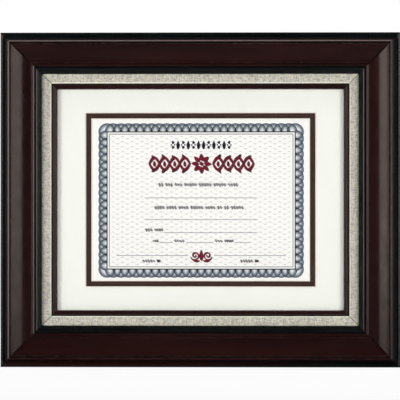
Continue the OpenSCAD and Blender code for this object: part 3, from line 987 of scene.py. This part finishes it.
def heading_row(black):
    """A row of lozenges and dots in black across the upper part."""
    z, half, high, count = 66.9, 37.0, 5.6, 6
    for k in range(count):
        x = (k + 0.5) * half / count
        if k % 2 == 0:
            shapes = [leaf_outline((x, z - high), (x, z + high), 2.0),
                      leaf_outline((x - 2.9, z), (x + 2.9, z), 1.3)]
        else:
            shapes = [leaf_outline((x, z + s * 0.9), (x + 0.6, z + s * 5.2), 1.7, 0.5 * s)
                      for s in (-1, 1)]
            shapes += [arc((x + 1.9 * s, z), 1.0, 0, 330, 12) for s in (-1, 1)]
        for outline in shapes:
            black.fill(outline)
            black.fill(mirrored(outline))


def fill_both(maroon, shadow, shapes, move):
    """Filled shapes in maroon, and in black where their shadow falls."""
    for outline in shapes:
        maroon.fill(outline)
        shadow.fill(np.asarray(outline) + move)


def knot_band(maroon, shadow):
    """A bold symmetric knot of two strands about a rosette in maroon, over a black shadow."""
    z, first, pitch, loops, tall = 44.5, 14.0, 12.2, 4, 7.2
    x = np.linspace(first, first + loops * pitch, 130)
    phase = np.pi * (x - first) / pitch
    for way in (-1, 1):
        line = np.stack([x, z + way * tall * np.sin(phase)], -1)
        width = 1.8 + 1.5 * np.abs(np.sin(phase))
        for s in (-1, 1):
            maroon.ribbon(line * (s, 1), width)
            shadow.ribbon(line * (s, 1) + KNOT_SHADOW, width)
    middle = np.array([0, z])
    shapes = [arc((0, z), 2.2, 0, 345, 24)]
    for turn in np.radians(np.arange(0, 360, 45)):
        way = np.array([math.cos(turn), math.sin(turn)])
        shapes.append(leaf_outline(middle + 3.4 * way, middle + 12.2 * way, 2.5))
    for k in range(loops):
        at = first + (k + 0.5) * pitch
        high = 11.9 if k % 2 == 0 else 10.6
        side = [leaf_outline((at, z - 3.6), (at, z + 3.6), 1.4)]
        side += [leaf_outline((at - 1.2, z + s * 7.4), (at + 3.0, z + s * high), 1.5, -0.9 * s)
                 for s in (-1, 1)]
        shapes += side + [mirrored(outline) for outline in side]
    fill_both(maroon, shadow, shapes, KNOT_SHADOW)


def cord(black, start, end, z, high, width=0.85):
    """A fine leaning wave of uneven height, in short lengths."""
    rng = np.random.default_rng(int(abs(start * 10 + z)))
    at = start
    while at < end - 3.0:
        turns = int(rng.integers(2, 6))
        long = min(turns * 3.1, end - at)
        t = np.linspace(0, turns, turns * 10 + 1)
        tall = np.interp(t, np.arange(turns + 1), rng.uniform(0.7, 1.45, turns + 1))
        lift = high * 0.5 * tall * np.sin(2 * np.pi * t)
        line = np.stack([at + long * t / turns + 0.4 * lift, z + lift], -1)
        black.ribbon(line, width * (0.45 + 0.75 * np.abs(np.cos(2 * np.pi * t))))
        at += long + 2.1


def scrolls(maroon, shadow):
    """A small pair of scrolls about a bud at the foot."""
    z = -66.0
    turn = np.linspace(0, 3.2 * np.pi, 70)
    radius = 0.7 + 4.9 * (turn / turn[-1]) ** 1.1
    swell = np.sin(np.pi * turn / turn[-1])
    angle = turn + 0.7 * np.pi
    curl = np.stack([7.6 + radius * np.cos(angle), z + radius * np.sin(angle)], -1)
    for line in (curl, curl * (-1, 1)):
        maroon.ribbon(line, 0.7 + 0.9 * swell)
        shadow.ribbon(line + SCROLL_SHADOW, 0.9 + 1.0 * swell)
    shapes = [leaf_outline((0, z - 6.4), (0, z + 7.2), 2.3)]
    shapes += [leaf_outline((s * 1.5, z - 6.4), (s * 12.6, z - 3.6), 1.4, s * -1.6) for s in (1, -1)]
    fill_both(maroon, shadow, shapes, SCROLL_SHADOW)


def certificate_print():
    """Everything printed on the sheet, one piece for each ink."""
    places = rose_places()
    slate, shade = ink("ink_slate", (26, 35, 44)), tinted("ink_shade", PAPER, (98, 116, 134))
    border_lines(places, slate)
    border_shade(places, shade)
    wave_tint(ink("ink_pale", (206, 208, 211), 0.3))
    inner_line, rules, shadow, black, maroon = (Print(v) for v in (0.03, 0.03, 0.03, 0.05, 0.05))
    inner_line.ribbon(frame_line(*INNER_LINE), 1.0)
    inner_line.piece("print_inner_line", ink("ink_grey", (132, 134, 142)))
    for start, end, z in RULES:
        rules.ribbon([(start, z), (end, z)], 0.55)
    rules.piece("print_rules", ink("ink_rule", (70, 74, 82)))
    heading_row(black)
    knot_band(maroon, shadow)
    scrolls(maroon, shadow)
    for place in CORDS:
        cord(black, *place)
    dark = ink("ink_black", (14, 18, 24))
    black.piece("print_black", dark)
    shadow.piece("print_shadow", dark)
    maroon.piece("print_maroon", ink("ink_maroon", (112, 0, 34), 0.1))


# Hardware on the back, in places (x, y, z): along the rail, outwards and out of the wooden back

BUTTON_U = 52.2
BUTTON_T, BUTTON_GAP = 1.2, 0.1
BUTTON_AT = {
    "button_bottom_left": (BOTTOM, -95.0), "button_bottom_right": (BOTTOM, 95.0),
    "button_left_low": (LEFT, 60.0), "button_left_high": (LEFT, -60.0),
    "button_top_left": (TOP, 95.0), "button_top_right": (TOP, -95.0),
    "button_right_low": (RIGHT, -60.0), "button_right_high": (RIGHT, 60.0),
}
PIVOT_U, PIVOT_D = 23.0, 1.95
STRAP_T, STRAP_W, STRAP_SCREW, STRAP_END_R = 0.8, 11.0, 10.0, 6.4
LEAF_GAP = 0.03
WIRE_R, RING_R, RING_LEG = 1.0, 8.0, 4.0


def behind(side, along, u, local):
    """Points in the part's frame from places (x, y, z) round a place on the back."""
    local = np.asarray(local, float)
    return at_side(side, along + local[..., 0], u - local[..., 1], -local[..., 2])


def level(flat, z):
    """Flat points (x, y) at one height."""
    flat = np.asarray(flat, float)
    return np.concatenate([flat, np.full((len(flat), 1), float(z))], 1)


def ways(angles):
    """Unit directions at some angles."""
    return np.stack([np.cos(angles), np.sin(angles)], -1)


def full_turn(count):
    """Evenly spaced angles once round."""
    return np.linspace(0, 2 * np.pi, count, endpoint=False)


def reach_of(outline, centre, angle):
    """Distance from the centre to an outline in one direction."""
    p = outline - centre
    e = np.roll(p, -1, 0) - p
    x, y = math.cos(angle), math.sin(angle)
    across = x * e[:, 1] - y * e[:, 0]
    across = np.where(abs(across) < 1e-9, 1e-9, across)
    t = (p[:, 0] * e[:, 1] - p[:, 1] * e[:, 0]) / across
    s = (p[:, 0] * y - p[:, 1] * x) / across
    return np.max(t[(s > -1e-6) & (s < 1 + 1e-6) & (t > 0)])


def plate_loops(outline, centre, hole_r, low, high, soft=0.2):
    """Loops round a plate with a hole, its edges rounded."""
    outline, centre = np.asarray(outline, float), np.asarray(centre, float)
    corners = np.arctan2(*(outline - centre).T[::-1])
    angles = np.unique(np.round(np.concatenate([corners, full_turn(48)]) % (2 * np.pi), 3))
    way = ways(angles)
    edge = centre + way * np.array([reach_of(outline, centre, a) for a in angles])[:, None]
    out = outward(edge)
    steps = ((2.4, 0.0), (1.0, 0.0), (0.3, 0.3), (0.0, 1.0))
    loops = [level(centre + way * hole_r, low)]
    loops += [level(edge - out * soft * a, low + soft * b) for a, b in steps]
    loops += [level(edge - out * soft * a, high - soft * b) for a, b in reversed(steps)]
    loops += [level(centre + way * (hole_r + 0.15), high), level(centre + way * hole_r, high - 0.15)]
    return loops


def cross_reach(angle, arm, slot):
    """Distance from the middle to the outline of a cross-shaped recess."""
    c, s = (max(abs(v), 1e-9) for v in (math.cos(angle), math.sin(angle)))
    return max(min(arm / c, slot / s), min(arm / s, slot / c))


def screw_form(shank_r, long, head_h=1.3):
    """A domed screw with a cross recess, its head seated at z = 0."""
    head = 2 * shank_r
    arm, slot = 0.5 * head, 0.125 * head

    def dome(r):
        return head_h * (1 - 0.9 * (r / head) ** 3.2)

    first = math.atan2(slot, arm)
    half = [0, first] + [first + (math.pi / 4 - first) * k / 3 for k in (1, 2, 3)]
    quarter = half + [math.pi / 2 - a for a in half[-2:0:-1]]
    angles = np.array([a + q * math.pi / 2 for q in range(4) for a in quarter])
    way = ways(angles)
    cross = np.array([cross_reach(a, arm, slot) for a in angles])[:, None]
    rows = [level(way * cross * 0.9, 0.45 * head_h), np.concatenate([way * cross, dome(cross)], 1)]
    rows += [level(way * head * r, dome(head * r)) for r in (0.6, 0.72, 0.84, 0.93, 0.985, 1.0)]
    rows += [level(way * r, z) for r, z in ((head, 0.0), (shank_r, 0.0), (shank_r, 3 - long),
                                            (0.15, -long))]
    cols = len(angles)
    points = np.concatenate(rows + [[(0, 0, 0.4 * head_h)]])
    faces = strip_faces(len(rows), cols, close=True)
    faces += [(len(points) - 1, (i + 1) % cols, i) for i in range(cols)]
    faces.append(tuple((len(rows) - 1) * cols + i for i in range(cols)))
    return points, faces


def lathe_form(profile, count=48):
    """A closed turned form from (radius, height) pairs, capped at both ends."""
    rows = [level(ways(full_turn(count)) * r, z) for r, z in profile]
    return np.concatenate(rows), capped_faces(len(rows), count)


def buttons(steel):
    """The eight turn buttons, each a body of its own."""
    outline = np.concatenate([arc((0, 0), 5.0, -6, 186, 24), arc((0, -14.1), 3.4, 186, 354, 18)])
    loops = plate_loops(outline, (0, 0), 1.6, BUTTON_GAP, BUTTON_GAP + BUTTON_T)
    faces = ring_faces(len(loops), len(loops[0]))
    for node, (side, along) in BUTTON_AT.items():
        points = behind(side, along, BUTTON_U, np.concatenate(loops))
        piece(node + "_plate", points, faces, [steel], "button_steel", [node], body=node)


def screw_piece(name, material, form, places, u, y, seat):
    """Equal screws at places (side, along), their heads seated at one height."""
    heads, (points, faces) = Shape(), form
    for side, along in places:
        heads.add(behind(side, along, u, points + (0, y, seat)), faces)
    heads.piece(name + "_domed", [material], "screw_steel", [name])


def screws(material):
    """The screws that the buttons turn about, and those of the two straps."""
    screw_piece("button_screws", material, screw_form(1.5, 9.0), BUTTON_AT.values(),
                BUTTON_U, 0, 2 * BUTTON_GAP + BUTTON_T)
    screw_piece("hanger_screws", material, screw_form(1.8, 12.0 - 2 * STRAP_T),
                ((TOP, 0), (RIGHT, 0)), PIVOT_U, -STRAP_SCREW, 2 * STRAP_T)


def strap(name, side, brass):
    """A strip folded round the ring's bar, held by one screw through both its leaves."""
    half, outer, inner = STRAP_W / 2, STRAP_T + WIRE_R + 0.1, WIRE_R + 0.1
    soft, count = 0.12, 40
    end = math.degrees(math.acos(half / STRAP_END_R))
    outline = np.concatenate([[(half, -1.35), (-half, -1.35)],
                              arc((0, -STRAP_SCREW), STRAP_END_R, 180 + end, 360 - end, 24)])
    form = Shape()
    for low in (0.0, STRAP_T + LEAF_GAP):
        loops = plate_loops(outline, (0, -STRAP_SCREW), 1.9, low, low + STRAP_T - LEAF_GAP, soft)
        points = behind(side, 0, PIVOT_U, np.concatenate(loops))
        form.add(points, ring_faces(len(loops), len(loops[0])))
    turn = full_turn(count)
    barrel = [(-half, outer - soft), (soft - half, outer), (half - soft, outer), (half, outer - soft),
              (half, inner + 0.1), (half - 0.1, inner), (0.1 - half, inner), (-half, inner + 0.1)]
    rows = [np.stack([np.full(count, x), r * np.cos(turn), PIVOT_D + r * np.sin(turn)], -1)
            for x, r in barrel]
    form.add(behind(side, 0, PIVOT_U, np.concatenate(rows)), ring_faces(len(rows), count))
    form.piece(name + "_folded", [brass], "hanger_brass", [name])


def ring(name, side, brass):
    """A bent wire ring with rounded lower corners."""
    bend, count = 1.7, 16
    line = np.concatenate([
        arc((RING_R - bend, bend), bend, -90, 0, 8),
        arc((0, RING_LEG), RING_R, 0, 180, 40),
        arc((bend - RING_R, bend), bend, 180, 270, 8),
        [(x, 0) for x in (-4.5, -1.5, 1.5, 4.5)],
    ])
    turn = full_turn(count)
    rows = [np.stack([x + n * WIRE_R * np.cos(turn), y + m * WIRE_R * np.cos(turn),
                      PIVOT_D + WIRE_R * np.sin(turn)], -1)
            for (x, y), (n, m) in zip(line, outward(line))]
    piece(name + "_wire", behind(side, 0, PIVOT_U, np.concatenate(rows)),
          ring_faces(len(rows), count), [brass], "hanger_brass", [name], body=name)


def nails(name, places, steel):
    """Bent corner nails across the mitres, a hair proud of the wood they are driven into."""
    leg, thick, deep, proud = 6.0, 0.6, 9.0, 0.05
    corners = [(0, 0), (leg, 0), (leg, thick), (thick, thick), (thick, leg), (0, leg)]
    outline, _ = soften(np.array(corners), 0.12)
    form, count = Shape(), len(outline)
    for u, sign_x, sign_z in itertools.product(places, (-1, 1), (-1, 1)):
        flat = (outline + (u - HALF_W, u - HALF_H)) * (-sign_x, -sign_z)
        rows = [np.stack([flat[:, 0], np.full(count, BACK_Y - d), CENTRE_Z + flat[:, 1]], -1)
                for d in (deep, -proud)]
        form.add(np.concatenate(rows), capped_faces(2, count))
    form.piece(name + "_bent", [steel], "nail_steel", [name])


def bumpers(foam):
    """The two rubber pads, turned forms that narrow towards the wall."""
    profile = [(5.9, 0.0), (6.0, 0.15), (5.9, 0.7), (5.45, 1.9), (5.0, 3.1), (4.78, 3.8),
               (4.55, 4.15), (4.1, 4.33), (3.6, 4.4)]
    points, faces = lathe_form(profile)
    for node in ("bumper_left", "bumper_right"):
        x, _, z = sum(node_box(node)) / 2
        piece(node + "_pad", behind(BOTTOM, x, z - FRAME_LOW[2], points), faces, [foam],
              "bumper_rubber", [node])


def hardware():
    """Everything on the back that isn't wood."""
    steel = metal("button_steel", (190, 192, 190), (150, 152, 150), 0.34)
    nail = metal("nail_steel", (150, 152, 154), (112, 114, 116), 0.42)
    brass = metal("hanger_brass", (214, 180, 104), (176, 140, 74), 0.28)
    buttons(steel)
    screws(metal("screw_steel", (196, 186, 150), (160, 148, 112), 0.3))
    for name, side in (("top", TOP), ("side", RIGHT)):
        strap("strap_" + name, side, brass)
        ring("ring_" + name, side, brass)
    nails("moulding_nails", (11.0, 30.0), nail)
    nails("liner_nails", (BUTTON_U,), nail)
    bumpers(rubber("bumper_rubber"))


# Camera, lamps and surroundings, in metres

VIEW_TURN = 3.3
VIEW_DISTANCE = 9.0
VIEW_WIDTH = 0.4806
VIEW_MIDDLE = (0.0, -0.0215, CENTRE_Z * MM - 0.0002)
LAMP_TARGET = (0.0, -0.015, CENTRE_Z * MM)
FLOOR_REACH = 40.0


def camera():
    """A far camera, turned a little to the right of the frame's front."""
    data = bpy.data.cameras.new("camera")
    data.sensor_width = 36
    data.lens = data.sensor_width / 2 / (VIEW_WIDTH / 2 / VIEW_DISTANCE)
    data.clip_end = 200
    made = linked("camera", data)
    turn = math.radians(VIEW_TURN)
    way = Vector((math.sin(turn), -math.cos(turn), 0))
    made.location = Vector(VIEW_MIDDLE) + VIEW_DISTANCE * way
    made.rotation_euler = (math.pi / 2, 0, turn)
    bpy.context.scene.camera = made


def softbox(name, turn, rise, distance, width, height, radiance, glossy=True, tint=(1, 1, 1)):
    """An area lamp that faces the frame from an angle round it, 0 being the front."""
    data = bpy.data.lights.new(name, "AREA")
    data.shape = "RECTANGLE"
    data.size, data.size_y = width, height
    data.energy = radiance * math.pi * width * height
    data.color = tint
    made = linked(name, data)
    a, e = math.radians(turn), math.radians(rise)
    way = Vector((math.sin(a) * math.cos(e), -math.cos(a) * math.cos(e), math.sin(e)))
    made.location = Vector(LAMP_TARGET) + way * distance
    made.rotation_euler = (-way).to_track_quat("-Z", "Y").to_euler()
    made.visible_camera = False
    made.visible_glossy = glossy


def surroundings():
    """A world that the camera sees white, dim in front of the frame and pale behind it."""
    world = bpy.data.worlds.new("studio")
    bpy.context.scene.world = world
    world.use_nodes = True
    world.node_tree.nodes.clear()
    n = Nodes(world.node_tree)
    path = n.node("LightPath", {})
    depth = n.node("SeparateXYZ", {"Vector": n.node("TexCoord", {})["Generated"]})["Y"]
    shine = n.blend(path["Is Glossy Ray"], 0.22, n.span(depth, 0.35, 0.8, 0.015, 0.85))
    seen = n.math("MAXIMUM", path["Is Camera Ray"], path["Is Transmission Ray"])
    glow = n.node("Background", {"Color": (1, 1, 1, 1), "Strength": n.blend(seen, shine, 1.0)})
    n.node("OutputWorld", {"Surface": glow["Background"]})


def floor():
    """A pale floor under the frame, white to the camera apart from a light shadow."""
    low = FRAME_LOW[2] * MM
    mesh = bpy.data.meshes.new("floor")
    mesh.from_pydata([(x * FLOOR_REACH, y * FLOOR_REACH, low)
                      for x, y in ((-1, -1), (1, -1), (1, 1), (-1, 1))], [], [(0, 1, 2, 3)])
    made = linked("floor", mesh)
    p = Paint("floor", 0.9)
    path = p.node("LightPath", {})
    shade, dim = (0.75, 0.75, 0.75, 1), (0.06, 0.06, 0.06, 1)
    p.set(Base_Color=p.mix(path["Is Glossy Ray"], shade, dim), Specular_IOR_Level=0.0)
    white = p.node("Emission", {"Strength": 1.0})["Emission"]
    shown = p.node("MixShader", {"Fac": p.times(path["Is Camera Ray"], 0.85),
                                 1: p.shader.outputs["BSDF"], 2: white})["Shader"]
    p.join(shown, p.tree.nodes["Material Output"].inputs["Surface"])
    mesh.materials.append(p.material)


def lamps():
    """Two warm boxes that shine in the side rails' scoops, two keys, and lights behind and above."""
    softbox("left_box", -42.1, 0, 2.05, 1.05, 1.1, 2.2, tint=(1.0, 0.92, 0.82))
    softbox("right_box", 35.6, 0, 2.07, 1.35, 1.1, 1.8, tint=(1.0, 0.93, 0.9))
    for name, turn in (("left", -1), ("right", 1)):
        softbox(name + "_key", turn * 47, 0, 2.2, 0.6, 1.2, 11.1, False)
        softbox(name + "_back", turn * 150, 25, 2.5, 1.4, 1.0, 6.5, False)
        softbox(name + "_shine", turn * 166, 20, 2.5, 0.9, 1.4, 2.4)
    softbox("overhead", 0, 84, 2.0, 1.8, 0.8, 5.8, False)


def main():
    bpy.context.scene.view_settings.view_transform = "Standard"
    mouldings()
    linens()
    fillets()
    mats()
    plain_nodes()
    certificate_print()
    hardware()
    camera()
    lamps()
    surroundings()
    floor()


main()
